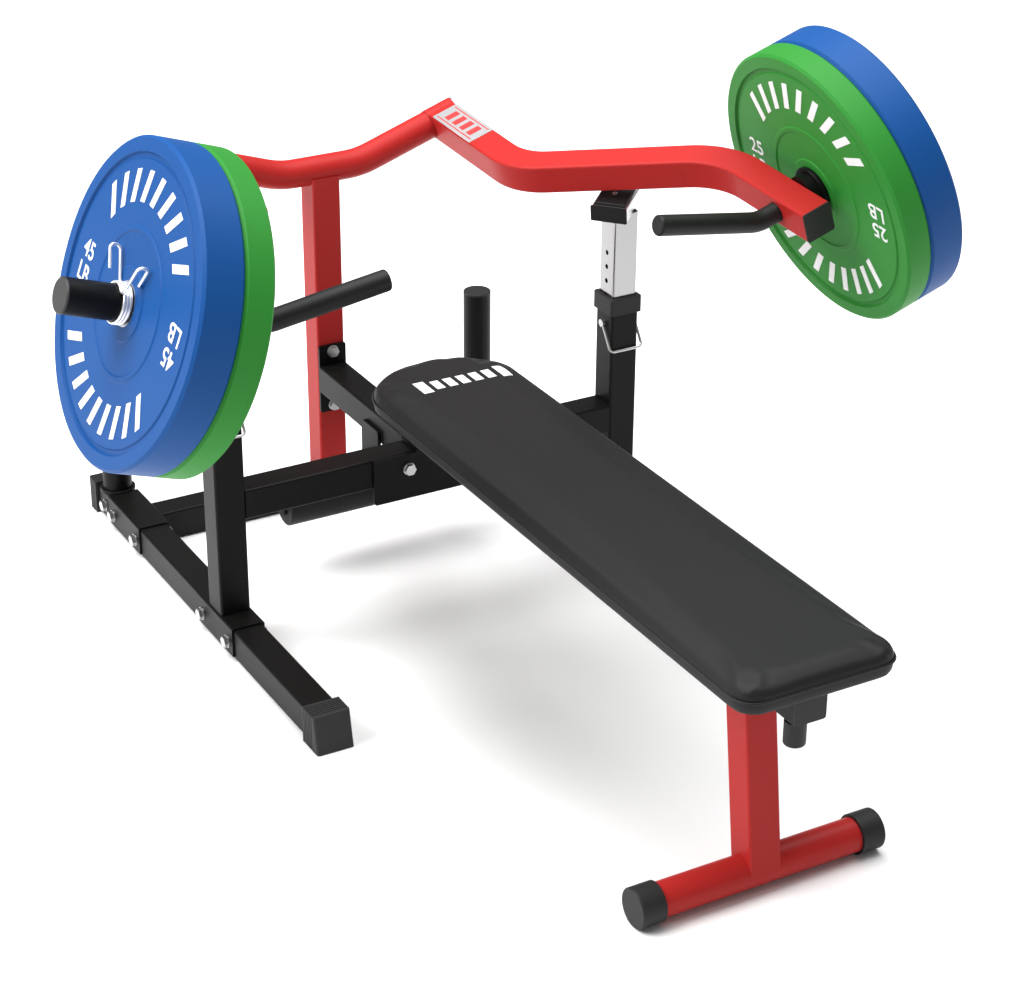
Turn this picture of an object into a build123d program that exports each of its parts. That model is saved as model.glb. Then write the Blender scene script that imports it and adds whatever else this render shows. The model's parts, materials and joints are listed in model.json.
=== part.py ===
from build123d import *
import math
import os

# Plate-loaded bench press with two independent converging arms.
# Millimetres, +Z up, +Y to the head end, X across; the floor is z = 0.

os.makedirs("parts", exist_ok=True)

# ---- driving dimensions ----
TUBE = 50.0            # square tube side
WALL = 2.5             # square tube wall
CORNER = 4.0           # outside corner radius of the square tube
RAIL_X = 354.0         # rail and upright centre line
RAIL_Z0 = 4.0          # the end caps lift the rails off the floor
RAIL_Z1 = RAIL_Z0 + TUBE
RAIL_Y0 = -98.0
RAIL_Y1 = 807.0
CAP_GROW = 5.0         # how far a rail end cap stands proud
BEAM_Y = 649.0         # rear cross-beam and column centre
UPRIGHT_Y = 272.0
SLEEVE_LEN = 140.0     # U-shaped saddle over a rail
SLEEVE_T = 3.0
PEG_Y = 752.0
PEG_R = 24.8
PEG_Z1 = 285.0
MID_Z0 = 216.0         # mid-height cross-beam and backbone
MID_Z1 = 266.0
UPRIGHT_Z1 = 452.0
COLLAR_Z0 = 426.0
COLLAR_Z1 = 455.0
COL_Z1 = 600.0
CROSS_R = 24.0
CROSS_Z = 607.8
BENCH_Z0 = 311.5       # bench spine
BENCH_Z1 = 361.5
BENCH_Y0 = -780.0
PAD_W = 252.0
PAD_Z1 = 405.5
PAD_Y0 = -813.0
PAD_Y1 = 296.0
FOOT_Y = -686.0
FOOT_Z = 29.0
FOOT_R = 25.0
FOOT_CAP_R = 29.0
TAU = 18.6             # outward rise of the pivot and sleeve axes, degrees
BETA = 4.06            # the arm dips this much towards the front, degrees
ARM_END = (465.4, -112.0, 683.2)
ARM_OFFSET = 231.7     # sideways jog of the arm
ARM_TURN = 41.84
ARM_FRONT = 243.3      # second corner to the arm's front end
ARM_LEN = 763.0        # pivot axis to the arm's front end
BEND_REAR = 125.0
BEND_FRONT = 165.0
SLEEVE_F = 75.2        # loading sleeve, behind the arm's front end
LOAD_R = 25.0
LOAD_END = 245.0
GREEN_A0 = 48.0
GREEN_A1 = 91.8
BLUE_A0 = 92.2
BLUE_A1 = 152.0
PLATE_R = 225.0
BORE_R = 25.08
HUB_R = 25.0
SHAFT_R = 12.5
PIN_Z = 406.0
HOLE_PITCH = 24.4
ROLLER_Y = 418.0
ROLLER_Z = 126.0
ROLLER_R = 31.0

parts = {}


def add(name, *shapes):
    solids = []
    for s in shapes:
        solids += list(s.solids())
    parts[name] = Compound(solids) if len(solids) > 1 else solids[0]


def block(x0, x1, y0, y1, z0, z1):
    return Pos((x0 + x1) / 2, (y0 + y1) / 2, (z0 + z1) / 2) * Box(x1 - x0, y1 - y0, z1 - z0)


def rod_x(r, x0, x1, y, z):
    return Pos((x0 + x1) / 2, y, z) * Rot(0, 90, 0) * Cylinder(r, x1 - x0)


def rod_y(r, x, y0, y1, z):
    return Pos(x, (y0 + y1) / 2, z) * Rot(90, 0, 0) * Cylinder(r, y1 - y0)


def rod_z(r, x, y, z0, z1):
    return Pos(x, y, (z0 + z1) / 2) * Cylinder(r, z1 - z0)


def hex_x(af, x0, x1, y, z):
    face = Plane(origin=(x0, y, z), x_dir=(0, 1, 0), z_dir=(1, 0, 0)) * RegularPolygon(af / 2, 6, major_radius=False)
    return extrude(face, x1 - x0)


def hex_y(af, x, y0, y1, z):
    face = Plane(origin=(x, y0, z), x_dir=(1, 0, 0), z_dir=(0, 1, 0)) * RegularPolygon(af / 2, 6, major_radius=False)
    return extrude(face, y1 - y0)


def square_tube(p0, p1, side=TUBE, wall=WALL, corner=CORNER, x_dir=None):
    """Hollow square tube from p0 to p1."""
    a = Vector(*p0)
    d = Vector(*p1) - a
    pl = Plane(origin=a, z_dir=d, x_dir=x_dir) if x_dir else Plane(origin=a, z_dir=d)
    ring = RectangleRounded(side, side, corner)
    ring -= RectangleRounded(side - 2 * wall, side - 2 * wall, max(corner - wall, 0.5))
    return extrude(pl * ring, d.length)


def mirror_x(shape):
    return mirror(shape, about=Plane.YZ)


# ---- base: rails, caps, rear cross-beam ----
right_rail = square_tube((RAIL_X, RAIL_Y0 + 8, RAIL_Z0 + TUBE / 2), (RAIL_X, RAIL_Y1 - 4, RAIL_Z0 + TUBE / 2), x_dir=(1, 0, 0))
for y in (UPRIGHT_Y - 51, UPRIGHT_Y + 49, 608.0, 708.0, PEG_Y):
    right_rail -= rod_x(5.05, RAIL_X - 40, RAIL_X + 40, y, 27.0)
right_rail -= rod_z(5.05, RAIL_X, PEG_Y, RAIL_Z1 - 5, RAIL_Z1 + 5)


def rail_cap(y_end, y_in, lean):
    """Moulded cap over a rail end; the outer end face leans out by lean at the foot."""
    side = TUBE / 2 + CAP_GROW
    sgn = 1 if y_end > y_in else -1
    prof = Plane.YZ * make_face(Polyline((y_in, 0), (y_end + sgn * lean, 0), (y_end, RAIL_Z1 + CAP_GROW), (y_in, RAIL_Z1 + CAP_GROW), close=True))
    body = extrude(prof, side, both=True)
    body = fillet(body.edges().filter_by(Axis.Z, tolerance=20).sort_by(Axis.Y)[-2:] if sgn > 0 else body.edges().filter_by(Axis.Z, tolerance=20).sort_by(Axis.Y)[:2], 4)
    body = Pos(RAIL_X, 0, 0) * body
    body -= block(RAIL_X - TUBE / 2, RAIL_X + TUBE / 2, min(y_in, y_end - sgn * 8) - 1, max(y_in, y_end - sgn * 8) + (0 if sgn > 0 else 1), RAIL_Z0, RAIL_Z1)
    return body


front_cap = rail_cap(-100.0, -60.0, 12.0)
rear_cap = rail_cap(813.0, 783.0, 0.0)


def rib_ring(y, depth):
    """Shallow groove across the top and outer sides of a cap."""
    g = block(RAIL_X - 31, RAIL_X + 31, y - 0.8, y + 0.8, -1, 60)
    g -= block(RAIL_X - 30 + depth, RAIL_X + 30 - depth, y - 2, y + 2, -2, RAIL_Z1 + CAP_GROW - depth)
    return g


for i in range(6):
    front_cap -= rib_ring(-66.0 - 5.0 * i, 1.6)
    rear_cap -= rib_ring(787.0 + 4.4 * i, 1.6)
add("rails", right_rail, mirror_x(right_rail))
add("rail_caps", front_cap, mirror_x(front_cap), rear_cap, mirror_x(rear_cap))


def rail_saddle(yc):
    """U-shaped sleeve over the right rail: top and two cheeks."""
    h = SLEEVE_LEN / 2
    o = TUBE / 2 + SLEEVE_T
    u = block(RAIL_X - o, RAIL_X + o, yc - h, yc + h, RAIL_Z0 + 4, RAIL_Z1 + SLEEVE_T)
    u = fillet(u.edges().filter_by(Axis.Y).sort_by(Axis.Z)[-2:], 3)
    u -= block(RAIL_X - TUBE / 2, RAIL_X + TUBE / 2, yc - h - 1, yc + h + 1, -5, RAIL_Z1)
    for y in (yc - 50, yc + 50):
        u -= rod_x(5.05, RAIL_X - 40, RAIL_X + 40, y, 27.0)
    return u


saddle_r = rail_saddle(658.0) - rod_z(30.3, RAIL_X, PEG_Y, RAIL_Z1, 70)
beam = square_tube((-(RAIL_X - 28), BEAM_Y, RAIL_Z0 + 25), (RAIL_X - 28, BEAM_Y, RAIL_Z0 + 25), x_dir=(0, 1, 0))
add("rear_crossbeam", beam, saddle_r, mirror_x(saddle_r))

# ---- plate storage pegs ----
peg = rod_z(PEG_R, RAIL_X, PEG_Y, RAIL_Z1 + 6, PEG_Z1 - 4) - rod_z(PEG_R - 2.5, RAIL_X, PEG_Y, RAIL_Z1 + 6, PEG_Z1)
flange = rod_z(30.0, RAIL_X, PEG_Y, RAIL_Z1, RAIL_Z1 + 6)
flange = fillet(flange.edges().filter_by(GeomType.CIRCLE).sort_by(Axis.Z)[-1:], 1.5)
peg = peg + flange
peg += rod_z(5.0, RAIL_X, PEG_Y, RAIL_Z0 + 30, RAIL_Z1)
peg_cap = rod_z(PEG_R, RAIL_X, PEG_Y, PEG_Z1 - 4, PEG_Z1) + rod_z(PEG_R - 2.5, RAIL_X, PEG_Y, PEG_Z1 - 16, PEG_Z1 - 4)
peg_cap = fillet(peg_cap.edges().filter_by(GeomType.CIRCLE).sort_by(Axis.Z)[-1:], 1.5)
add("storage_pegs", peg, mirror_x(peg))
add("storage_peg_caps", peg_cap, mirror_x(peg_cap))

# ---- uprights with collars ----
up_sad = rail_saddle(UPRIGHT_Y - 1.0)
up = square_tube((RAIL_X, UPRIGHT_Y, RAIL_Z1 + SLEEVE_T), (RAIL_X, UPRIGHT_Y, COLLAR_Z0 + 10), x_dir=(1, 0, 0))
up -= rod_x(4.2, RAIL_X - 30, RAIL_X + 30, UPRIGHT_Y, PIN_Z)
collar_h = block(RAIL_X - 29, RAIL_X + 29, UPRIGHT_Y - 29, UPRIGHT_Y + 29, COLLAR_Z0, COLLAR_Z1)
collar_h = fillet(collar_h.edges().filter_by(Axis.Z), 4)
collar_h = chamfer(collar_h.edges().group_by(Axis.Z)[-1], 1.5)
collar_h -= block(RAIL_X - 25, RAIL_X + 25, UPRIGHT_Y - 25, UPRIGHT_Y + 25, COLLAR_Z0 - 1, COLLAR_Z0 + 10)
collar_h -= block(RAIL_X - 22.6, RAIL_X + 22.6, UPRIGHT_Y - 22.6, UPRIGHT_Y + 22.6, COLLAR_Z0 - 1, COLLAR_Z1 + 1)
add("uprights", up, mirror_x(up), up_sad, mirror_x(up_sad))
add("upright_collars", collar_h, mirror_x(collar_h))

# ---- middle cross-beam, backbone, saddle ----
mid_half = square_tube((25.0, UPRIGHT_Y, (MID_Z0 + MID_Z1) / 2), (RAIL_X - 25, UPRIGHT_Y, (MID_Z0 + MID_Z1) / 2), x_dir=(0, 1, 0))
mid_half -= rod_y(5.05, 48, UPRIGHT_Y - 30, UPRIGHT_Y + 30, 240.5)
add("middle_crossbeam", mid_half, mirror_x(mid_half))
BB_Y1 = BEAM_Y - 25
plate_y0 = BB_Y1 - 5
backbone = square_tube((0, UPRIGHT_Y - 25, (MID_Z0 + MID_Z1) / 2), (0, plate_y0, (MID_Z0 + MID_Z1) / 2), x_dir=(1, 0, 0))
end_plate = block(-25, 25, plate_y0, BB_Y1, 179, 302)
end_plate = fillet(end_plate.edges().filter_by(Axis.Y), 4)
for z in (190.5, 290.5):
    end_plate -= rod_y(5.05, 0, plate_y0 - 1, BB_Y1 + 1, z)
add("backbone_tube", backbone, end_plate)
front_plate = block(-110, 110, UPRIGHT_Y - 30, UPRIGHT_Y - 25, 188, MID_Z1)
front_plate = fillet(front_plate.edges().filter_by(Axis.Y), 5)
for x in (-48, 48):
    front_plate -= rod_y(5.05, x, UPRIGHT_Y - 31, UPRIGHT_Y - 24, 240.5)
add("bench_saddle_plate", front_plate, block(-35, 35, UPRIGHT_Y - 30, UPRIGHT_Y + 25, MID_Z1, MID_Z1 + 4))

# ---- column and cross tube ----
column = square_tube((0, BEAM_Y, RAIL_Z1), (0, BEAM_Y, CROSS_Z - 8), x_dir=(1, 0, 0))
for z in (190.5, 290.5):
    column -= rod_y(5.05, 0, BEAM_Y - 30, BEAM_Y + 30, z)


def frame_vec(a, f, u):
    """World vector of (across, forward, up) in the right arm's own frame."""
    t = math.radians(TAU)
    b = math.radians(-BETA)
    av = Vector(math.cos(t), 0, math.sin(t))
    e3 = Vector(-math.sin(t), 0, math.cos(t))
    fv = Vector(0, -math.cos(b), 0) + e3 * math.sin(b)
    uv = Vector(0, math.sin(b), 0) + e3 * math.cos(b)
    return av * a + fv * f + uv * u


ARM_PLANE = Plane(origin=ARM_END, x_dir=frame_vec(1, 0, 0), z_dir=frame_vec(0, 0, 1))


def arm_pt(a, f, u):
    return Vector(*ARM_END) + frame_vec(a, f, u)


def place(shape):
    """From the right arm's frame (x across, y rearwards, z up) to the world."""
    return ARM_PLANE.location * shape


HUB = arm_pt(-ARM_OFFSET, -ARM_LEN, 0)
BEND_X = HUB.X - (HUB.Z - CROSS_Z) / math.tan(math.radians(TAU))
hub_in = arm_pt(-ARM_OFFSET - 25.6, -ARM_LEN, 0)
path = FilletPolyline((-hub_in.X, HUB.Y, hub_in.Z), (-BEND_X, HUB.Y, CROSS_Z), (BEND_X, HUB.Y, CROSS_Z), (hub_in.X, HUB.Y, hub_in.Z), radius=150)
sect = Plane(origin=path @ 0, z_dir=path % 0) * Circle(CROSS_R)
sect_in = Plane(origin=path @ 0, z_dir=path % 0) * Circle(CROSS_R - 3)
cross_solid = sweep(sect, path=path)
cross_bore = sweep(sect_in, path=path)
column -= cross_solid
cross = cross_solid - cross_bore


def local_rod(r, a0, a1, f, u=0.0):
    """Round rod along the arm's across axis, in the arm's frame."""
    return Pos((a0 + a1) / 2, -f, u) * Rot(0, 90, 0) * Cylinder(r, a1 - a0)


add("column_and_cross_tube", column, cross)
shaft = local_rod(SHAFT_R, -ARM_OFFSET - 65.6, -ARM_OFFSET + 26.5, -ARM_LEN)
shaft += local_rod(CROSS_R - 3, -ARM_OFFSET - 45.6, -ARM_OFFSET - 35.6, -ARM_LEN)
shaft += local_rod(CROSS_R - 3, -ARM_OFFSET - 65.6, -ARM_OFFSET - 58.0, -ARM_LEN)
shaft = place(shaft)
add("pivot_shafts", shaft, mirror_x(shaft))
pcap = local_rod(24.5, -ARM_OFFSET + 26.5, -ARM_OFFSET + 30.5, -ARM_LEN)
pcap = chamfer(pcap.edges().filter_by(GeomType.CIRCLE).sort_by(Axis.X)[-1:], 1.2)
pcap = place(pcap)
add("pivot_end_caps", pcap, mirror_x(pcap))

# ---- bench ----
bench = square_tube((0, BENCH_Y0, (BENCH_Z0 + BENCH_Z1) / 2), (0, 285, (BENCH_Z0 + BENCH_Z1) / 2), x_dir=(1, 0, 0))
riser = square_tube((0, UPRIGHT_Y, MID_Z1 + 4), (0, UPRIGHT_Y, BENCH_Z0), x_dir=(1, 0, 0))
bench -= rod_z(5.05, 0, -752, BENCH_Z0 - 5, BENCH_Z0 + 5)
add("bench_spine", bench, riser)
plug = block(-22.4, 22.4, BENCH_Y0, BENCH_Y0 + 18, BENCH_Z0 + 2.6, BENCH_Z1 - 2.6)
plug = fillet(plug.edges().filter_by(Axis.Y), 2)
plug = plug - block(-20, 20, BENCH_Y0 + 3, BENCH_Y0 + 19, BENCH_Z0 + 5, BENCH_Z1 - 5)
rim = block(-25, 25, BENCH_Y0 - 2.5, BENCH_Y0, BENCH_Z0, BENCH_Z1)
rim = fillet(rim.edges().filter_by(Axis.Y), 4)
add("bench_spine_plug", rim + plug)

LEG_TOP = (0, -647.7, BENCH_Z0)
LEG_FOOT = (0, FOOT_Y, FOOT_Z)
dy = LEG_TOP[1] - LEG_FOOT[1]
dz = LEG_TOP[2] - LEG_FOOT[2]
ext = 8.0 / dz
leg = square_tube(LEG_FOOT, (0, LEG_TOP[1] + dy * ext, LEG_TOP[2] + dz * ext), x_dir=(1, 0, 0))
leg -= block(-60, 60, LEG_TOP[1] - 80, LEG_TOP[1] + 80, BENCH_Z0, BENCH_Z0 + 60)
foot = rod_x(FOOT_R, -185, 185, FOOT_Y, FOOT_Z) - rod_x(FOOT_R - 2.5, -186, 186, FOOT_Y, FOOT_Z)
leg -= rod_x(FOOT_R, -200, 200, FOOT_Y, FOOT_Z)
leg = leg.solids().sort_by(SortBy.VOLUME)[-1]
add("front_leg_and_foot_tube", leg, foot)
fcap = rod_x(FOOT_CAP_R, 160, 197, FOOT_Y, FOOT_Z)
fcap = fillet(fcap.edges().filter_by(GeomType.CIRCLE).sort_by(Axis.X)[-1:], 2.5)
fcap -= rod_x(FOOT_R, 159, 185, FOOT_Y, FOOT_Z)
add("foot_caps", fcap, mirror_x(fcap))


def pad_outline(grow=0.0):
    """Plan of the pad: half ellipse at the head end, rounded corners at the foot end."""
    w = PAD_W / 2 + grow
    e = 100.0 + grow
    yh = PAD_Y1 + grow - e
    yf = PAD_Y0 - grow
    head = EllipticalCenterArc((0, yh), w, e, start_angle=0, arc_size=180)
    left = Line((-w, yh), (-w, yf))
    front = Line((-w, yf), (w, yf))
    right = Line((w, yf), (w, yh))
    face = make_face(Curve() + [head, left, front, right])
    return fillet(face.vertices().group_by(Axis.Y)[0], 34)


PAD_SEAM = 383.5
base = Pos(0, 0, BENCH_Z1) * extrude(pad_outline(), PAD_SEAM - BENCH_Z1, dir=(0, 0, 1))
base = fillet(base.edges().group_by(Axis.Z)[0], 9)
cushion = Pos(0, 0, PAD_SEAM) * extrude(pad_outline(), PAD_Z1 - PAD_SEAM, dir=(0, 0, 1))
cushion = fillet(cushion.edges().group_by(Axis.Z)[-1], 11)
pockets = []
for y in (-640.0, -260.0, 160.0):
    pl = block(-70, 70, y - 25, y + 25, BENCH_Z1, BENCH_Z1 + 4)
    for x in (-55, 55):
        pl -= rod_z(4.05, x, y, BENCH_Z1 - 1, BENCH_Z1 + 5)
    pockets.append(pl)
    base -= block(-70, 70, y - 25, y + 25, BENCH_Z1, BENCH_Z1 + 4)
    for x in (-55, 55):
        base -= rod_z(4.05, x, y, BENCH_Z1, BENCH_Z1 + 16)
add("pad_mount_plates", *pockets)
add("bench_pad_base", base)
add("bench_pad_cushion", cushion)

# ---- knob under the spine's front end ----
knob = rod_z(15.2, 0, -752, 264, 300)
knob = fillet(knob.edges().filter_by(GeomType.CIRCLE).sort_by(Axis.Z)[:1], 3)
knob = knob + rod_z(13.0, 0, -752, 300, 311.0) + rod_z(5.0, 0, -752, 311.0, 328)
add("adjuster_knob", knob)

# ---- hanger and rollers behind the middle cross-beam ----
hanger = block(-31, -25, ROLLER_Y - 30, ROLLER_Y + 30, ROLLER_Z - 22, MID_Z0 + 24)
hanger = fillet(hanger.edges().filter_by(Axis.X), 6)
hanger2 = mirror_x(hanger)
axle = rod_x(8.0, -190, 190, ROLLER_Y, ROLLER_Z)
stops = rod_x(12.0, -195, -190, ROLLER_Y, ROLLER_Z) + rod_x(12.0, 190, 195, ROLLER_Y, ROLLER_Z)
add("roller_hanger", hanger - axle, hanger2 - axle, axle, stops)
roller = rod_x(ROLLER_R, -189.5, -31.5, ROLLER_Y, ROLLER_Z)
roller = fillet(roller.edges().filter_by(GeomType.CIRCLE), 3)
roller -= rod_x(8.08, -200, -20, ROLLER_Y, ROLLER_Z)
add("right_roller", mirror_x(roller))
add("left_roller", roller)

# ---- chrome height-stop tubes with tilted rubber stops ----
STOP_HALF = 22.2
chrome = square_tube((RAIL_X, UPRIGHT_Y, 224), (RAIL_X, UPRIGHT_Y, 640), side=2 * STOP_HALF, wall=3.0, corner=4.0, x_dir=(1, 0, 0))
for i in range(6):
    chrome -= rod_x(4.2, RAIL_X - 30, RAIL_X + 30, UPRIGHT_Y, PIN_Z + HOLE_PITCH * i)
along = Vector(0.658, -0.753, 0.0)
tilt = math.radians(10.0)
deep = Vector(0.753 * math.cos(tilt), 0.658 * math.cos(tilt), math.sin(tilt))
STOP_PLANE = Plane(origin=(346.5, 273.0, 597.0), x_dir=along, z_dir=along.cross(deep))


def stop_box(x0, x1, y0, y1, z0, z1):
    return STOP_PLANE.location * block(x0, x1, y0, y1, z0, z1)


chrome -= stop_box(-90, 90, -90, 90, 0, 90)
bracket = block(-29, 29, -34.5, 37.5, 0, 25) - block(-26, 26, -36, 39, 3, 22)
bracket = fillet(bracket.edges().filter_by(Axis.Y).group_by(Axis.Z)[-1], 2.5)
bracket -= rod_z(4.05, 0, 0, 20, 30)
bracket = STOP_PLANE.location * bracket
front_cover = block(-30, 30, -37.5, -34.5, -1, 26)
front_cover = fillet(front_cover.edges().filter_by(Axis.Y), 2)
front_cover += block(-25.9, 25.9, -34.5, -24, 3.1, 21.9)
rubber = block(-25.5, 25.5, -31, 35, 25.0, 30.0)
rubber = fillet(rubber.edges().group_by(Axis.Z)[-1], 2)
rubber -= rod_z(4.05, 0, 0, 20, 35)
stop_bolt = rod_z(4.0, 0, 0, 8, 30) + rod_z(4.5, 0, 0, 30, 32) - rod_z(2.2, 0, 0, 31, 33)
stop_bolt += rod_z(6.5, 0, 0, 13, 21.9)
stop_bolt = STOP_PLANE.location * stop_bolt
add("right_stop_tube", chrome)
add("left_stop_tube", mirror_x(chrome))
add("right_stop_bracket", bracket, stop_bolt)
add("left_stop_bracket", mirror_x(bracket), mirror_x(stop_bolt))
front_cover = STOP_PLANE.location * front_cover
rubber = STOP_PLANE.location * rubber
add("right_stop_rubber", rubber, front_cover)
add("left_stop_rubber", mirror_x(rubber), mirror_x(front_cover))


def wire(points, r, radius):
    """Round wire through the points, with rounded corners."""
    pth = FilletPolyline(*points, radius=radius)
    return sweep(Plane(origin=pth @ 0, z_dir=pth % 0) * Circle(r), path=pth)


bail_in = RAIL_X - 28.2
bail_out = RAIL_X + 32.0
bail_y = UPRIGHT_Y - 28.5
bail = wire([(bail_in, UPRIGHT_Y, PIN_Z), (bail_in, bail_y, PIN_Z - 43), (bail_out, bail_y, PIN_Z - 43), (bail_out, UPRIGHT_Y, PIN_Z)], 2.2, 7)
stub_in = rod_x(4.12, bail_in - 3, RAIL_X - 22.7, UPRIGHT_Y, PIN_Z) + rod_x(6.5, bail_in - 3, RAIL_X - 25.4, UPRIGHT_Y, PIN_Z)
stub_out = rod_x(4.12, RAIL_X + 22.7, bail_out + 3, UPRIGHT_Y, PIN_Z) + rod_x(6.5, RAIL_X + 25.4, bail_out + 3, UPRIGHT_Y, PIN_Z)
bail = bail + stub_in + stub_out
add("right_stop_pin", bail)
add("left_stop_pin", mirror_x(bail))


# ---- arms ----
def bent_path(pts, radii):
    """Edges through the points, each inner corner rounded to its own radius."""
    v = [Vector(*p) for p in pts]
    edges = []
    start = v[0]
    for i, r in enumerate(radii):
        p = v[i + 1]
        d0 = (p - v[i]).normalized()
        d1 = (v[i + 2] - p).normalized()
        half = math.radians(d0.get_angle(d1)) / 2
        t = r * math.tan(half)
        mid = p + (d1 - d0).normalized() * (r / math.cos(half) - r)
        edges.append(Edge.make_line(start, p - d0 * t))
        edges.append(Edge.make_three_point_arc(p - d0 * t, mid, p + d1 * t))
        start = p + d1 * t
    edges.append(Edge.make_line(start, v[-1]))
    return Wire(edges)


HUB_A0 = -ARM_OFFSET - 25.0
HUB_A1 = -ARM_OFFSET + 26.0
run_b = ARM_OFFSET / math.tan(math.radians(ARM_TURN))
corner_b = (-ARM_OFFSET, ARM_FRONT + run_b, 0)
arm_path = bent_path([(-ARM_OFFSET, ARM_LEN - 12, 0), corner_b, (0, ARM_FRONT, 0), (0, 2.5, 0)], [BEND_REAR, BEND_FRONT])
ring = RectangleRounded(TUBE, TUBE, CORNER) - RectangleRounded(TUBE - 2 * WALL, TUBE - 2 * WALL, 1.5)
arm_tube = sweep(Plane(origin=arm_path @ 0, x_dir=(1, 0, 0), z_dir=arm_path % 0) * ring, path=arm_path)
arm_tube -= local_rod(HUB_R, -ARM_OFFSET - 60, -ARM_OFFSET + 60, -ARM_LEN)
arm_tube = arm_tube.solids().sort_by(SortBy.VOLUME)[-1]
hub = local_rod(HUB_R, HUB_A0, HUB_A1, -ARM_LEN) - local_rod(21.0, HUB_A0 - 1, HUB_A1 + 1, -ARM_LEN)
arm = place(arm_tube + hub)
add("right_arm", arm)
add("left_arm", mirror_x(arm))

bush = local_rod(21.0, HUB_A0, HUB_A0 + 14, -ARM_LEN) + local_rod(21.0, HUB_A1 - 14, HUB_A1, -ARM_LEN)
bush -= local_rod(SHAFT_R + 0.08, HUB_A0 - 1, HUB_A1 + 1, -ARM_LEN)
bush = place(bush)
add("right_pivot_bushings", bush)
add("left_pivot_bushings", mirror_x(bush))

end_cap = block(-25, 25, 0, 2.5, -25, 25)
end_cap = fillet(end_cap.edges().filter_by(Axis.Y), 4)
cap_plug = block(-22.4, 22.4, 2.5, 16, -22.4, 22.4)
end_cap += fillet(cap_plug.edges().filter_by(Axis.Y), 2) - block(-20, 20, 2.5, 17, -20, 20)
end_cap = place(end_cap)
add("right_arm_cap", end_cap)
add("left_arm_cap", mirror_x(end_cap))

label = block(-ARM_OFFSET - 24, -ARM_OFFSET + 24, 614, 738, 25.0, 25.8)
label = place(fillet(label.edges().filter_by(Axis.Z), 2))
add("right_arm_label", label)
add("left_arm_label", mirror_x(label))

# ---- loading sleeves ----
load = local_rod(LOAD_R, 25, LOAD_END - 3, SLEEVE_F * -1) - local_rod(LOAD_R - 4, 25, LOAD_END, SLEEVE_F * -1)
load += local_rod(33.0, 25, 40, SLEEVE_F * -1) - local_rod(LOAD_R - 1, 24, 41, SLEEVE_F * -1)
step = local_rod(40.0, 40, GREEN_A0 - 0.5, SLEEVE_F * -1)
step = fillet(step.edges().filter_by(GeomType.CIRCLE), 2) - local_rod(LOAD_R - 1, 24, 60, SLEEVE_F * -1)
load += step
load = place(load)
add("right_loading_sleeve", load)
add("left_loading_sleeve", mirror_x(load))
load_cap = local_rod(LOAD_R, LOAD_END - 3, LOAD_END, SLEEVE_F * -1)
load_cap = chamfer(load_cap.edges().filter_by(GeomType.CIRCLE).sort_by(Axis.X)[-1:], 1.5)
load_cap += local_rod(LOAD_R - 4.05, LOAD_END - 15, LOAD_END - 3, SLEEVE_F * -1)
load_cap = place(load_cap)
add("right_sleeve_cap", load_cap)
add("left_sleeve_cap", mirror_x(load_cap))

# ---- handles ----
h_path = bent_path([(-25, SLEEVE_F, 0), (-60.5, SLEEVE_F, 0), (-226, SLEEVE_F, 88)], [60])
handle = sweep(Plane(origin=h_path @ 0, z_dir=h_path % 0) * Circle(16.0), path=h_path)
tip_edge = handle.edges().filter_by(GeomType.CIRCLE).sort_by(Axis.X)[:1]
handle = place(fillet(tip_edge, 4))
add("right_handle", handle)
add("left_handle", mirror_x(handle))


# ---- weight plates ----
def plate_profile(t):
    """Half section of a rubber plate: distance from the axis, then across its thickness."""
    h = t / 2
    pts = [(31, -h), (50, -h), (52, -h + 2), (96, -h + 2), (98, -h + 0.5), (104, -h + 0.5), (106, -h + 2)]
    pts += [(193, -h + 2), (195, -h + 4), (201, -h + 4), (203, -h), (221, -h), (225, -h + 4)]
    return pts + [(r, -s) for r, s in reversed(pts)]


def disc(t, a0):
    prof = make_face(Plane.XZ * Polyline(*plate_profile(t), close=True))
    return Pos(a0 + t / 2, SLEEVE_F, 0) * Rot(0, 90, 0) * revolve(prof, Axis.Z, 360)


for side in ("right", "left"):
    for colour, a0, a1 in (("green", GREEN_A0, GREEN_A1), ("blue", BLUE_A0, BLUE_A1)):
        d = place(disc(a1 - a0, a0))
        b = place(local_rod(31.0, a0, a1, SLEEVE_F * -1) - local_rod(BORE_R, a0 - 1, a1 + 1, SLEEVE_F * -1))
        add(side + "_" + colour + "_plate", d if side == "right" else mirror_x(d))
        add(side + "_" + colour + "_plate_bore", b if side == "right" else mirror_x(b))

# ---- spring clips ----
CLIP_R = 2.2
COIL_R = BORE_R + CLIP_R
PITCH = 4.5
LEG = 55.0
HOOK = 34.0
HOOK_GAP = 15.0
ANG_IN = -36.0         # where the inner leg leaves the coil, from the top towards the front
ANG_OUT = 30.0
TURNS = 3.0 + (ANG_OUT - ANG_IN) / 360.0
RISE = PITCH / (2 * math.pi * COIL_R)


def clip_leg(angle, z, lean, sign):
    """Leg and hook leaving the coil at an angle; sign is -1 at the inner end and 1 at the outer."""
    a = math.radians(angle)
    b = math.radians(lean)
    foot = Vector(COIL_R * math.cos(a), COIL_R * math.sin(a), z)
    tangent = Vector(-math.sin(a), math.cos(a), RISE).normalized()
    up = Vector(math.cos(b), math.sin(b), 0)
    corner = foot + tangent * (sign * 8.6)
    top = corner + up * LEG
    over = Vector(0, 0, -sign * HOOK_GAP)
    return FilletPolyline(foot, corner, top, top + over, top + over - up * HOOK, radius=7.0)


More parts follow.
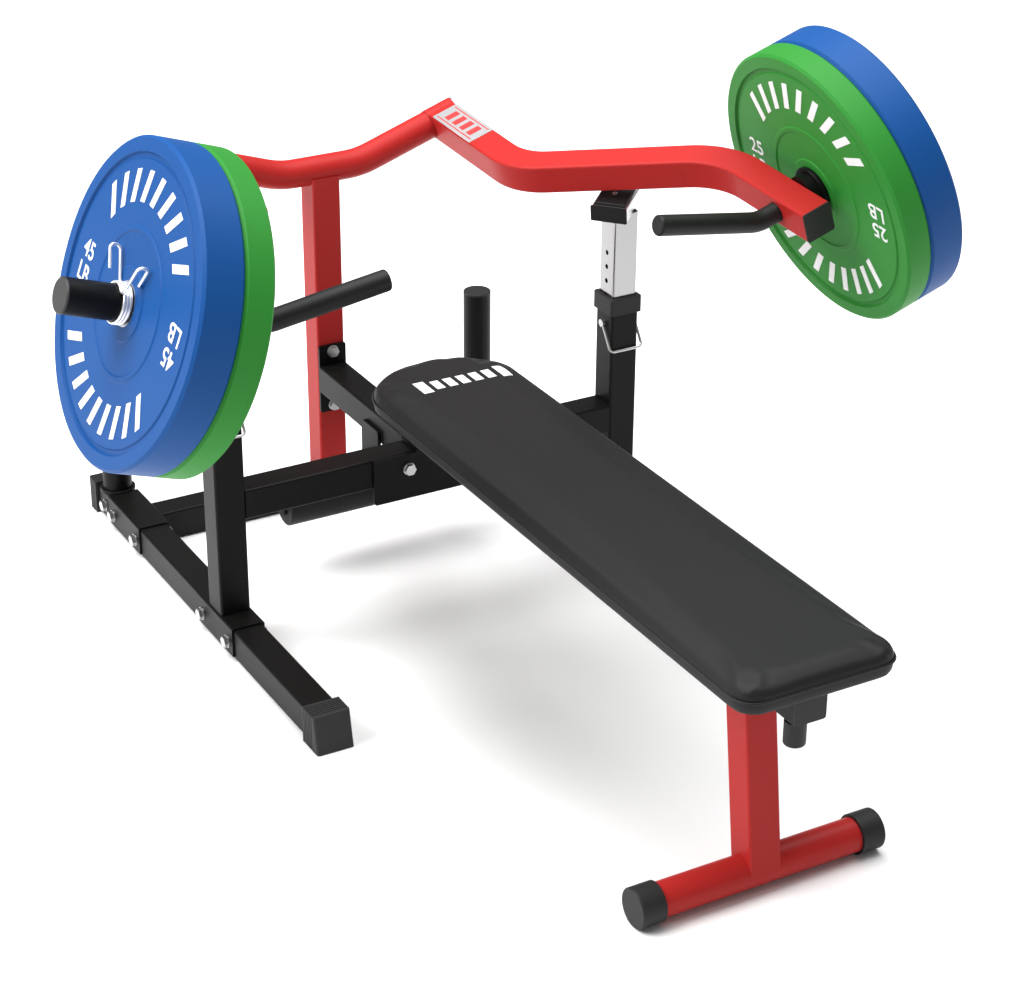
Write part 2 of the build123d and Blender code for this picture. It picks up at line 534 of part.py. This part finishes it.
coil_path = Rot(0, 0, ANG_IN) * Helix(pitch=PITCH, height=PITCH * TURNS, radius=COIL_R)
leg_in = clip_leg(ANG_IN, 0, -35.5, -1)
leg_out = clip_leg(ANG_OUT, PITCH * TURNS, 26.0, 1)
clip_path = Wire(list(leg_in.edges()) + list(coil_path.edges()) + list(leg_out.edges()))
clip = sweep(Plane(origin=clip_path @ 0, z_dir=clip_path % 0) * Circle(CLIP_R), path=clip_path)
clip_at = Plane(origin=(BLUE_A1 + 0.5 + CLIP_R, SLEEVE_F, 0), x_dir=(0, 0, 1), z_dir=(1, 0, 0))
clip = place(clip_at.location * clip)
add("right_spring_clip", clip)
add("left_spring_clip", mirror_x(clip))

# ---- fasteners ----
heads = []
washers = []
nuts = []


def rail_bolt(y, x_face, x_back):
    """Bolt through the right rail: washer and head outside, washer and nut inside."""
    heads.append(rod_x(5.0, x_back - 11, x_face + 1.6, y, 27) + hex_x(16.5, x_face + 1.6, x_face + 8.0, y, 27))
    washers.append(rod_x(10.5, x_face, x_face + 1.6, y, 27) - rod_x(5.05, x_face - 1, x_face + 3, y, 27))
    washers.append(rod_x(10.5, x_back - 1.6, x_back, y, 27) - rod_x(5.05, x_back - 3, x_back + 1, y, 27))
    nuts.append(hex_x(16.5, x_back - 9.6, x_back - 1.6, y, 27) - rod_x(5.0, x_back - 12, x_back + 2, y, 27))


for y in (UPRIGHT_Y - 51, UPRIGHT_Y + 49, 608.0, 708.0):
    rail_bolt(y, RAIL_X + 28, RAIL_X - 28)
rail_bolt(PEG_Y, RAIL_X + 25, RAIL_X - 25)
heads += [mirror_x(s) for s in heads]
washers += [mirror_x(s) for s in washers]
nuts += [mirror_x(s) for s in nuts]
for z in (190.5, 290.5):
    heads.append(rod_y(5.0, 0, plate_y0 - 1.6, BEAM_Y + 36, z) + hex_y(16.5, 0, plate_y0 - 8.0, plate_y0 - 1.6, z))
    washers.append(rod_y(10.5, 0, plate_y0 - 1.6, plate_y0, z) - rod_y(5.05, 0, plate_y0 - 3, plate_y0 + 1, z))
    washers.append(rod_y(10.5, 0, BEAM_Y + 25, BEAM_Y + 26.6, z) - rod_y(5.05, 0, BEAM_Y + 24, BEAM_Y + 28, z))
    nuts.append(hex_y(16.5, 0, BEAM_Y + 26.6, BEAM_Y + 34.6, z) - rod_y(5.0, 0, BEAM_Y + 20, BEAM_Y + 40, z))
for x in (-48, 48):
    y0 = UPRIGHT_Y - 30
    heads.append(rod_y(5.0, x, y0 - 1.6, UPRIGHT_Y + 36, 240.5) + hex_y(16.5, x, y0 - 8.0, y0 - 1.6, 240.5))
    washers.append(rod_y(10.5, x, y0 - 1.6, y0, 240.5) - rod_y(5.05, x, y0 - 3, y0 + 1, 240.5))
    washers.append(rod_y(10.5, x, UPRIGHT_Y + 25, UPRIGHT_Y + 26.6, 240.5) - rod_y(5.05, x, UPRIGHT_Y + 24, UPRIGHT_Y + 28, 240.5))
    nuts.append(hex_y(16.5, x, UPRIGHT_Y + 26.6, UPRIGHT_Y + 34.6, 240.5) - rod_y(5.0, x, UPRIGHT_Y + 20, UPRIGHT_Y + 40, 240.5))
add("frame_bolts", *heads)
add("frame_nuts_and_washers", *nuts, *washers)
pad_bolts = []
for y in (-640.0, -260.0, 160.0):
    for x in (-55, 55):
        hexh = Pos(x, y, BENCH_Z1 - 5.5) * extrude(RegularPolygon(6.5, 6, major_radius=False), 5.5)
        pad_bolts.append(hexh + rod_z(4.0, x, y, BENCH_Z1, BENCH_Z1 + 15))
add("pad_bolts", *pad_bolts)

for name, shape in parts.items():
    export_step(shape, "parts/" + name + ".step")
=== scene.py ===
import json
import math

import bmesh
import bpy
from mathutils import Matrix, Vector


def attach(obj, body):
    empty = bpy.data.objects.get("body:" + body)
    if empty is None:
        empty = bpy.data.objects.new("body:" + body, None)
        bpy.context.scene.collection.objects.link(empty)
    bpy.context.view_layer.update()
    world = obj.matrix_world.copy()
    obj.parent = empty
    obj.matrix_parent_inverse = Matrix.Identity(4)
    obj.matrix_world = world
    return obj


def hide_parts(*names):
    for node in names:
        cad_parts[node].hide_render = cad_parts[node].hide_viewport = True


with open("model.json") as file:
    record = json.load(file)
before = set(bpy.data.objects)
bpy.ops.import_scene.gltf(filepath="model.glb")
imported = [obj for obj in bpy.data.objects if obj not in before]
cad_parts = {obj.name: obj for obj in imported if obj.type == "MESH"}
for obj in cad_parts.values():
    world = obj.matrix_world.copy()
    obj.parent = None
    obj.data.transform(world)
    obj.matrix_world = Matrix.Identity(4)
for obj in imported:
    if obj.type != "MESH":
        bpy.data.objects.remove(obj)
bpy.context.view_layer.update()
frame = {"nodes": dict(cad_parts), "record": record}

FRAME_BODY = "frame"
SIDES = ((1, "right"), (-1, "left"))

# ---- the press arms: tilt of the arm's plane, dip of its front end, and that end's centre ----
TAU = math.radians(18.6)
DIP = math.radians(-4.06)
ARM_END = Vector((0.4654, -0.112, 0.6832))
SLEEVE_BACK = 0.0752  # from the front end back to the loading sleeve's axis


def arm_frame(side):
    """Across, forward and up directions of the right (1) or left (-1) arm, and its end point."""
    e3 = Vector((-math.sin(TAU), 0, math.cos(TAU)))
    a = Vector((math.cos(TAU), 0, math.sin(TAU)))
    f = Vector((0, -math.cos(DIP), 0)) + e3 * math.sin(DIP)
    u = Vector((0, math.sin(DIP), 0)) + e3 * math.cos(DIP)
    flip = Vector((side, 1, 1))
    return a * flip, f * flip, u * flip, ARM_END * flip


# ---- materials ----
def material(name, color, rough, metal=0.0, grain=0.0, scale=900.0, spec=0.5, vary=0.06):
    """Principled surface whose roughness varies softly; grain adds a fine bump of the given scale."""
    m = bpy.data.materials.new(name)
    m.use_nodes = True
    nt = m.node_tree
    p = nt.nodes["Principled BSDF"]
    p.inputs["Base Color"].default_value = (*color, 1)
    p.inputs["Metallic"].default_value = metal
    p.inputs["Specular IOR Level"].default_value = spec
    tc = nt.nodes.new("ShaderNodeTexCoord")
    soft = nt.nodes.new("ShaderNodeTexNoise")
    soft.inputs["Scale"].default_value = 9.0
    soft.inputs["Detail"].default_value = 3.0
    mr = nt.nodes.new("ShaderNodeMapRange")
    mr.inputs["To Min"].default_value = max(rough - vary, 0.02)
    mr.inputs["To Max"].default_value = min(rough + vary, 1.0)
    nt.links.new(tc.outputs["Object"], soft.inputs["Vector"])
    nt.links.new(soft.outputs["Fac"], mr.inputs["Value"])
    nt.links.new(mr.outputs["Result"], p.inputs["Roughness"])
    if grain > 0:
        fine = nt.nodes.new("ShaderNodeTexNoise")
        fine.inputs["Scale"].default_value = scale
        fine.inputs["Detail"].default_value = 2.0
        bump = nt.nodes.new("ShaderNodeBump")
        bump.inputs["Strength"].default_value = grain
        bump.inputs["Distance"].default_value = 0.0004
        nt.links.new(tc.outputs["Object"], fine.inputs["Vector"])
        nt.links.new(fine.outputs["Fac"], bump.inputs["Height"])
        nt.links.new(bump.outputs["Normal"], p.inputs["Normal"])
    return m


BLACK = material("black powder coat", (0.0045, 0.0044, 0.0042), 0.40, grain=0.10, scale=1400, spec=0.12)
RED = material("red powder coat", (0.40, 0.020, 0.018), 0.38, grain=0.06, scale=1400, spec=0.12)
ZINC = material("zinc steel", (0.60, 0.60, 0.60), 0.34, metal=1.0, grain=0.05, scale=700)
CHROME = material("chrome", (0.36, 0.36, 0.36), 0.20, metal=1.0, vary=0.04)
BRIGHT = material("bright spring wire", (0.93, 0.93, 0.93), 0.30, metal=0.75, vary=0.04)
CAP = material("moulded cap", (0.016, 0.016, 0.016), 0.55, grain=0.10, scale=900, spec=0.25)
RIBBED = material("ribbed rail cap", (0.024, 0.024, 0.024), 0.55, grain=0.12, scale=900, spec=0.25)
SLEEVE_TIP = material("sleeve end disc", (0.03, 0.03, 0.03), 0.45, vary=0.05, spec=0.3)
BUSH = material("bushing", (0.04, 0.04, 0.04), 0.6)
RUBBER = material("black rubber", (0.008, 0.008, 0.008), 0.50, grain=0.18, scale=1000, spec=0.25)
GREEN = material("green rubber", (0.026, 0.215, 0.028), 0.50, grain=0.12, scale=1000, spec=0.14)
BLUE = material("blue rubber", (0.006, 0.066, 0.245), 0.50, grain=0.12, scale=1000, spec=0.14)
SILVER = material("silver label", (0.62, 0.62, 0.63), 0.36, metal=0.85)
WHITE = material("white plate paint", (0.80, 0.80, 0.80), 0.5, grain=0.05)
PRINT = material("red print", (0.50, 0.03, 0.03), 0.5, spec=0.3)
VINYL = material("grained vinyl", (0.010, 0.010, 0.0105), 0.55, grain=0.32, scale=520, spec=0.2)
PIPING = material("vinyl piping", (0.010, 0.010, 0.0105), 0.5, grain=0.2, scale=600, spec=0.2)

SLOT_MATERIAL = {
    "black_steel": BLACK, "red_steel": RED, "zinc_steel": ZINC, "chrome": CHROME, "cap_plastic": CAP,
    "sleeve_end": SLEEVE_TIP, "bush_plastic": BUSH, "pad_vinyl": VINYL, "black_rubber": RUBBER,
    "green_rubber": GREEN, "blue_rubber": BLUE, "label_silver": SILVER,
}
NODE_MATERIAL = {"rail_caps": RIBBED, "left_spring_clip": BRIGHT, "right_spring_clip": BRIGHT}
for row in frame["record"]["subparts"]:
    obj = frame["nodes"][row["node"]]
    obj.data.materials.clear()
    slot_material = SLOT_MATERIAL[row["material_slot"]]
    obj.data.materials.append(NODE_MATERIAL.get(row["node"], slot_material))


def linked(name, data):
    """New object holding the data, linked to the scene."""
    obj = bpy.data.objects.new(name, data)
    bpy.context.scene.collection.objects.link(obj)
    return obj


def evaluated_mesh(obj):
    """Copy of the object's mesh with its modifiers applied."""
    deps = bpy.context.evaluated_depsgraph_get()
    return bpy.data.meshes.new_from_object(obj.evaluated_get(deps))


def add_object(name, data, mat, body):
    """Extra visual piece with its own material, riding on a body."""
    obj = linked(name, data)
    data.materials.append(mat)
    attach(obj, body)


# ---- raised marks and numerals on a flat face ----
def prisms(name, shapes, origin, x, y, n, low, high):
    """Mesh of flat shapes in the x, y plane, each raised from low to high along n, open below."""
    bm = bmesh.new()
    for shape in shapes:
        base = [bm.verts.new(origin + x * px + y * py + n * low) for px, py in shape]
        top = [bm.verts.new(origin + x * px + y * py + n * high) for px, py in shape]
        k = len(shape)
        bm.faces.new(top)
        for i in range(k):
            bm.faces.new((base[i], base[(i + 1) % k], top[(i + 1) % k], top[i]))
    bmesh.ops.recalc_face_normals(bm, faces=bm.faces)
    me = bpy.data.meshes.new(name)
    bm.to_mesh(me)
    bm.free()
    return me


def polar_shape(points, r, angle, turn=1):
    """Points drawn upright, moved to radius r at a clockwise angle from the top; turn -1 flips them."""
    t = math.radians(angle)
    out = Vector((math.sin(t), math.cos(t)))
    across = Vector((math.cos(t), -math.sin(t)))
    return [tuple(out * r + across * turn * px + out * turn * py) for px, py in points]


BAR_HALF_HEIGHT = 0.022
BAR_RADIUS = 0.158
BAR_STEP = 12.5  # degrees between bars
BAR_SPAN = 50  # degrees from the middle bar to the last
BARS_PER_ROW = 9
MARK_SINK = -0.0001  # the marks' lower edge, just inside the face they lie on
MARK_RISE = 0.0007


def plate_marks():
    """Generic raised marks: a row of slanted bars round the top and another round the bottom."""
    h = BAR_HALF_HEIGHT
    bar = [(-0.014, -h), (-0.001, -h), (0.014, h), (0.001, h)]
    shapes = []
    for i in range(BARS_PER_ROW):
        shapes.append(polar_shape(bar, BAR_RADIUS, -BAR_SPAN + BAR_STEP * i))
        shapes.append(polar_shape(bar, BAR_RADIUS, 180 + BAR_SPAN - BAR_STEP * i, turn=-1))
    return shapes


NUMERAL_SIZE = 0.036
NUMERAL_LIFT = 0.0003  # middle of the numerals' thickness above the face
# letter for the piece's name, place across the face, place up the face, turn
NUMERAL_PLACES = (("a", -0.150, -0.003, 0.0), ("b", 0.157, 0.010, math.pi))


def numeral_mesh(text, origin, x, y, n, turn):
    """Extruded text centred on the origin in the x, y plane, turned about n."""
    c = bpy.data.curves.new("numeral", "FONT")
    c.body = text
    c.size = NUMERAL_SIZE
    c.align_x = "CENTER"
    c.align_y = "CENTER"
    c.space_line = 0.95
    c.extrude = 0.0004
    c.offset = 0.0003
    tmp = linked("numeral", c)
    me = evaluated_mesh(tmp)
    bpy.data.objects.remove(tmp)
    rows = [(x[i], y[i], n[i], origin[i]) for i in range(3)]
    basis = Matrix(rows + [(0, 0, 0, 1)])
    me.transform(basis @ Matrix.Rotation(turn, 4, "Z"))
    me.materials.clear()
    return me


def dress_plate(side, word, colour, a_face, outward, number):
    """Marks and numerals on one flat face of a plate, a_face outward along the sleeve from the arm."""
    a, f, u, end = arm_frame(side)
    n = a * outward
    x = f if side * outward < 0 else -f
    origin = end - f * SLEEVE_BACK + a * a_face
    name = word + "_" + colour + "_plate"
    body = name + "_body"
    marks = prisms("marks", plate_marks(), origin, x, u, n, MARK_SINK, MARK_RISE)
    add_object(name + "_marks", marks, WHITE, body)
    for letter, px, pu, turn in NUMERAL_PLACES:
        centre = origin + x * px + u * pu + n * NUMERAL_LIFT
        me = numeral_mesh(number + "\nLB", centre, x, u, n, turn)
        add_object(name + "_numeral_" + letter, me, WHITE, body)


BLUE_OUTER_FACE = 0.150
GREEN_INNER_FACE = 0.050
for side, word in SIDES:
    dress_plate(side, word, "blue", BLUE_OUTER_FACE, 1, "45")
    dress_plate(side, word, "green", GREEN_INNER_FACE, -1, "25")

# ---- generic print on the arms' silver labels ----
def rectangle(x0, x1, y0, y1):
    return [(x0, y0), (x1, y0), (x1, y1), (x0, y1)]


ARM_OFFSET = 0.2317  # from the front end's centre in to the arm's hub, across
LABEL_BACK = 0.676
LABEL_UP = 0.0258
LABEL_RISE = 0.0002
label_bars = []
for i in range(4):
    y0 = -0.044 + 0.024 * i
    label_bars.append(rectangle(-0.012, 0.012, y0, y0 + 0.014))
label_bars.append(rectangle(-0.0185, -0.0165, -0.056, 0.056))
label_bars.append(rectangle(0.0165, 0.0185, -0.056, 0.056))
for side, word in SIDES:
    a, f, u, end = arm_frame(side)
    mid = end + a * -ARM_OFFSET - f * LABEL_BACK + u * LABEL_UP
    me = prisms("label_print", label_bars, mid, a, -f, u, MARK_SINK, LABEL_RISE)
    add_object(word + "_label_print", me, PRINT, word + "_arm_body")

# ---- the bench pad: one stuffed cover, with a seam round its middle ----
PAD_W = 0.252
PAD_Y0 = -0.813
PAD_Y1 = 0.296
SEAM_Z = 0.3835
PAD_LOW = 0.3615
VOXEL = 0.006
DRAW_IN = 0.003  # the cover starts this much inside the CAD pad at each edge
NEAR_HALF_LENGTH = 0.55  # a little under half of the pad's length
CROWN_DROP = 0.0015  # the start's top surface is lowered by this, less further down to the seam
CROWN_HEIGHT = 0.022
HEAD_ROUND = 0.1  # depth of the half ellipse at the head
FOOT_CORNER = 0.034
EDGE_BAND = 0.02  # the held bands of the cover: at its sides and foot, at its head,
HEAD_BAND = 0.11
UNDER_BAND = 0.006  # over its underside, and above and below its seam
SEAM_BAND = 0.0035
PUFF_FRAMES = 20
PUFF_LIMIT = 0.0042  # the farthest that the pressure may move a point of the cover


def outline(grow, steps=48):
    """Plan of the pad, grown all round, as a closed ring: half ellipse at the head, round corners
    at the foot."""
    w = PAD_W / 2 + grow
    e = HEAD_ROUND + grow
    yh = PAD_Y1 + grow - e
    yf = PAD_Y0 - grow
    r = FOOT_CORNER + grow
    ring = []
    for i in range(steps + 1):
        t = math.pi * i / steps
        ring.append((w * math.cos(t), yh + e * math.sin(t)))
    for i in range(1, 40):
        ring.append((-w, yh + (yf + r - yh) * i / 40))
    for i in range(13):
        t = math.pi + math.pi / 2 * i / 12
        ring.append((-w + r + r * math.cos(t), yf + r + r * math.sin(t)))
    for i in range(1, 10):
        ring.append((-w + r + (2 * w - 2 * r) * i / 10, yf))
    for i in range(13):
        t = 1.5 * math.pi + math.pi / 2 * i / 12
        ring.append((w - r + r * math.cos(t), yf + r + r * math.sin(t)))
    for i in range(1, 40):
        ring.append((w, yf + r + (yh - yf - r) * i / 40))
    return ring


def pad_mesh():
    """The CAD base and cushion joined in one mesh."""
    bm = bmesh.new()
    for node in ("bench_pad_base", "bench_pad_cushion"):
        bm.from_mesh(frame["nodes"][node].data)
    me = bpy.data.meshes.new("bench_pad")
    bm.to_mesh(me)
    bm.free()
    return me


pad = linked("bench_pad", pad_mesh())
bpy.context.view_layer.objects.active = pad
remesh = pad.modifiers.new("remesh", "REMESH")
remesh.mode = "VOXEL"
remesh.voxel_size = VOXEL
me = evaluated_mesh(pad)
pad.modifiers.clear()
pad.data = me
mid_y = (PAD_Y0 + PAD_Y1) / 2
for v in pad.data.vertices:
    v.co.x *= 1 - DRAW_IN / (PAD_W / 2)
    v.co.y = mid_y + (v.co.y - mid_y) * (1 - DRAW_IN / NEAR_HALF_LENGTH)
    if v.co.z > SEAM_Z:
        v.co.z -= CROWN_DROP * (v.co.z - SEAM_Z) / CROWN_HEIGHT
rest_co = [v.co.copy() for v in pad.data.vertices]


def is_held(co):
    """True for the cover's underside and for its edge along the seam."""
    at_side = abs(co.x) > PAD_W / 2 - EDGE_BAND
    at_end = co.y < PAD_Y0 + EDGE_BAND or co.y > PAD_Y1 - HEAD_BAND
    at_seam = abs(co.z - SEAM_Z) < SEAM_BAND
    return co.z < PAD_LOW + UNDER_BAND or ((at_side or at_end) and at_seam)


group = pad.vertex_groups.new(name="held")
group.add([v.index for v in pad.data.vertices if is_held(v.co)], 1.0, "REPLACE")
cloth = pad.modifiers.new("cloth", "CLOTH")
cloth.settings.quality = 5
cloth.settings.mass = 0.3
cloth.settings.tension_stiffness = 25
cloth.settings.compression_stiffness = 25
cloth.settings.bending_stiffness = 2.0
cloth.settings.vertex_group_mass = "held"
cloth.settings.use_pressure = True
cloth.settings.uniform_pressure_force = 4.0
cloth.settings.effector_weights.gravity = 0.0
cloth.point_cache.frame_start = 1
cloth.point_cache.frame_end = PUFF_FRAMES
for fr in range(1, PUFF_FRAMES + 1):
    bpy.context.scene.frame_set(fr)
done = evaluated_mesh(pad)
pad.modifiers.clear()
bpy.context.scene.frame_set(1)
pad.data = done
for v, old in zip(pad.data.vertices, rest_co):
    move = v.co - old
    if move.length > PUFF_LIMIT:
        v.co = old + move * (PUFF_LIMIT / move.length)
soften = pad.modifiers.new("smooth", "SMOOTH")
soften.factor = 0.5
soften.iterations = 4
sub = pad.modifiers.new("subdivision", "SUBSURF")
sub.levels = 1
sub.render_levels = 1
pad.data.materials.clear()
for poly in pad.data.polygons:
    poly.use_smooth = True
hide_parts("bench_pad_base", "bench_pad_cushion")
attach(pad, FRAME_BODY)


MARK_MIN_Z = 0.388  # above this height the mark shows, so that it stays on the pad's top
MARK_BARS = [(-0.062, -0.044, 0.158, 0.200), (0.078, 0.094, 0.158, 0.200)]
for i in range(5):
    MARK_BARS.append((-0.036 + 0.0225 * i, -0.0215 + 0.0225 * i, 0.164, 0.194))


def vinyl_with_mark():
    """The pad's vinyl with a small generic mark near the head end: a short row of pale bars."""
    m = VINYL.copy()
    m.name = "grained vinyl with mark"
    nt = m.node_tree
    p = nt.nodes["Principled BSDF"]
    tc = [n for n in nt.nodes if n.type == "TEX_COORD"][0]
    sep = nt.nodes.new("ShaderNodeSeparateXYZ")
    nt.links.new(tc.outputs["Object"], sep.inputs["Vector"])

    def op(kind, a, b):
        node = nt.nodes.new("ShaderNodeMath")
        node.operation = kind
        for i, value in enumerate((a, b)):
            if isinstance(value, float):
                node.inputs[i].default_value = value
            else:
                nt.links.new(value, node.inputs[i])
        return node.outputs[0]

    def between(value, low, high):
        return op("MULTIPLY", op("GREATER_THAN", value, low), op("LESS_THAN", value, high))

    x = sep.outputs["X"]
    y = sep.outputs["Y"]
    total = None
    for x0, x1, y0, y1 in MARK_BARS:
        one = op("MULTIPLY", between(x, x0, x1), between(y, y0, y1))
        total = one if total is None else op("MAXIMUM", total, one)
    total = op("MULTIPLY", total, op("GREATER_THAN", sep.outputs["Z"], MARK_MIN_Z))
    mix = nt.nodes.new("ShaderNodeMix")
    mix.data_type = "RGBA"
    mix.inputs[6].default_value = tuple(p.inputs["Base Color"].default_value)
    mix.inputs[7].default_value = (0.72, 0.72, 0.72, 1)
    nt.links.new(total, mix.inputs[0])
    nt.links.new(mix.outputs[2], p.inputs["Base Color"])
    return m


pad.data.materials.append(vinyl_with_mark())

# ---- the piping round the pad's seam ----
PIPING_RADIUS = 0.0018
ring = outline(-DRAW_IN)
c = bpy.data.curves.new("pad_piping", "CURVE")
c.dimensions = "3D"
sp = c.splines.new("POLY")
sp.points.add(len(ring) - 1)
for pt, (px, py) in zip(sp.points, ring):
    pt.co = (px, py, SEAM_Z, 1)
sp.use_cyclic_u = True
c.bevel_depth = PIPING_RADIUS
c.bevel_resolution = 3
add_object("pad_piping", c, PIPING, FRAME_BODY)

# ---- camera ----
CAMERA_PLACE = (-1.6824, -2.9763, 2.0215)
AZ = math.radians(-29.61)
EL = math.radians(26.97)
ROLL = math.radians(0.45)
back = Vector((math.sin(AZ) * math.cos(EL), -math.cos(AZ) * math.cos(EL), math.sin(EL)))
right = Vector((math.cos(AZ), math.sin(AZ), 0))
up = back.cross(right)
right2 = right * math.cos(ROLL) + up * math.sin(ROLL)
up2 = up * math.cos(ROLL) - right * math.sin(ROLL)
cam_data = bpy.data.cameras.new("camera")
cam_data.sensor_fit = "HORIZONTAL"
cam_data.sensor_width = 36.0
cam_data.lens = 88.64
cam_data.shift_x = -0.0028
cam_data.shift_y = 0.0039
cam_data.clip_end = 100
cam = linked("camera", cam_data)
rot = Matrix((right2, up2, back)).transposed().to_4x4()
cam.matrix_world = Matrix.Translation(CAMERA_PLACE) @ rot
bpy.context.scene.camera = cam

# ---- floor and light ----
FLOOR_HALF = 30
fl = bpy.data.meshes.new("floor")
corners = rectangle(-FLOOR_HALF, FLOOR_HALF, -FLOOR_HALF, FLOOR_HALF)
fl.from_pydata([(x, y, 0) for x, y in corners], [], [(0, 1, 2, 3)])
floor = linked("floor", fl)
fl.materials.append(material("pale floor", (0.93, 0.93, 0.93), 0.9, spec=0.1))

world = bpy.data.worlds.new("world")
bpy.context.scene.world = world
world.use_nodes = True
bg = world.node_tree.nodes["Background"]
bg.inputs["Color"].default_value = (1.0, 1.0, 1.0, 1)
bg.inputs["Strength"].default_value = 0.26


def area(name, loc, target, size, power):
    """Square area light at loc, facing the target."""
    d = bpy.data.lights.new(name, "AREA")
    d.shape = "SQUARE"
    d.size = size
    d.energy = power
    o = linked(name, d)
    o.location = loc
    o.rotation_euler = (Vector(target) - Vector(loc)).to_track_quat("-Z", "Y").to_euler()


area("key", (-4.4, 1.2, 5.2), (0, 0, 0.4), 4.5, 560)
area("top", (0.6, 0.6, 6.5), (0, 0, 0.3), 6.5, 640)
bpy.context.scene.view_settings.view_transform = "Standard"
bpy.context.scene.view_settings.look = "None"
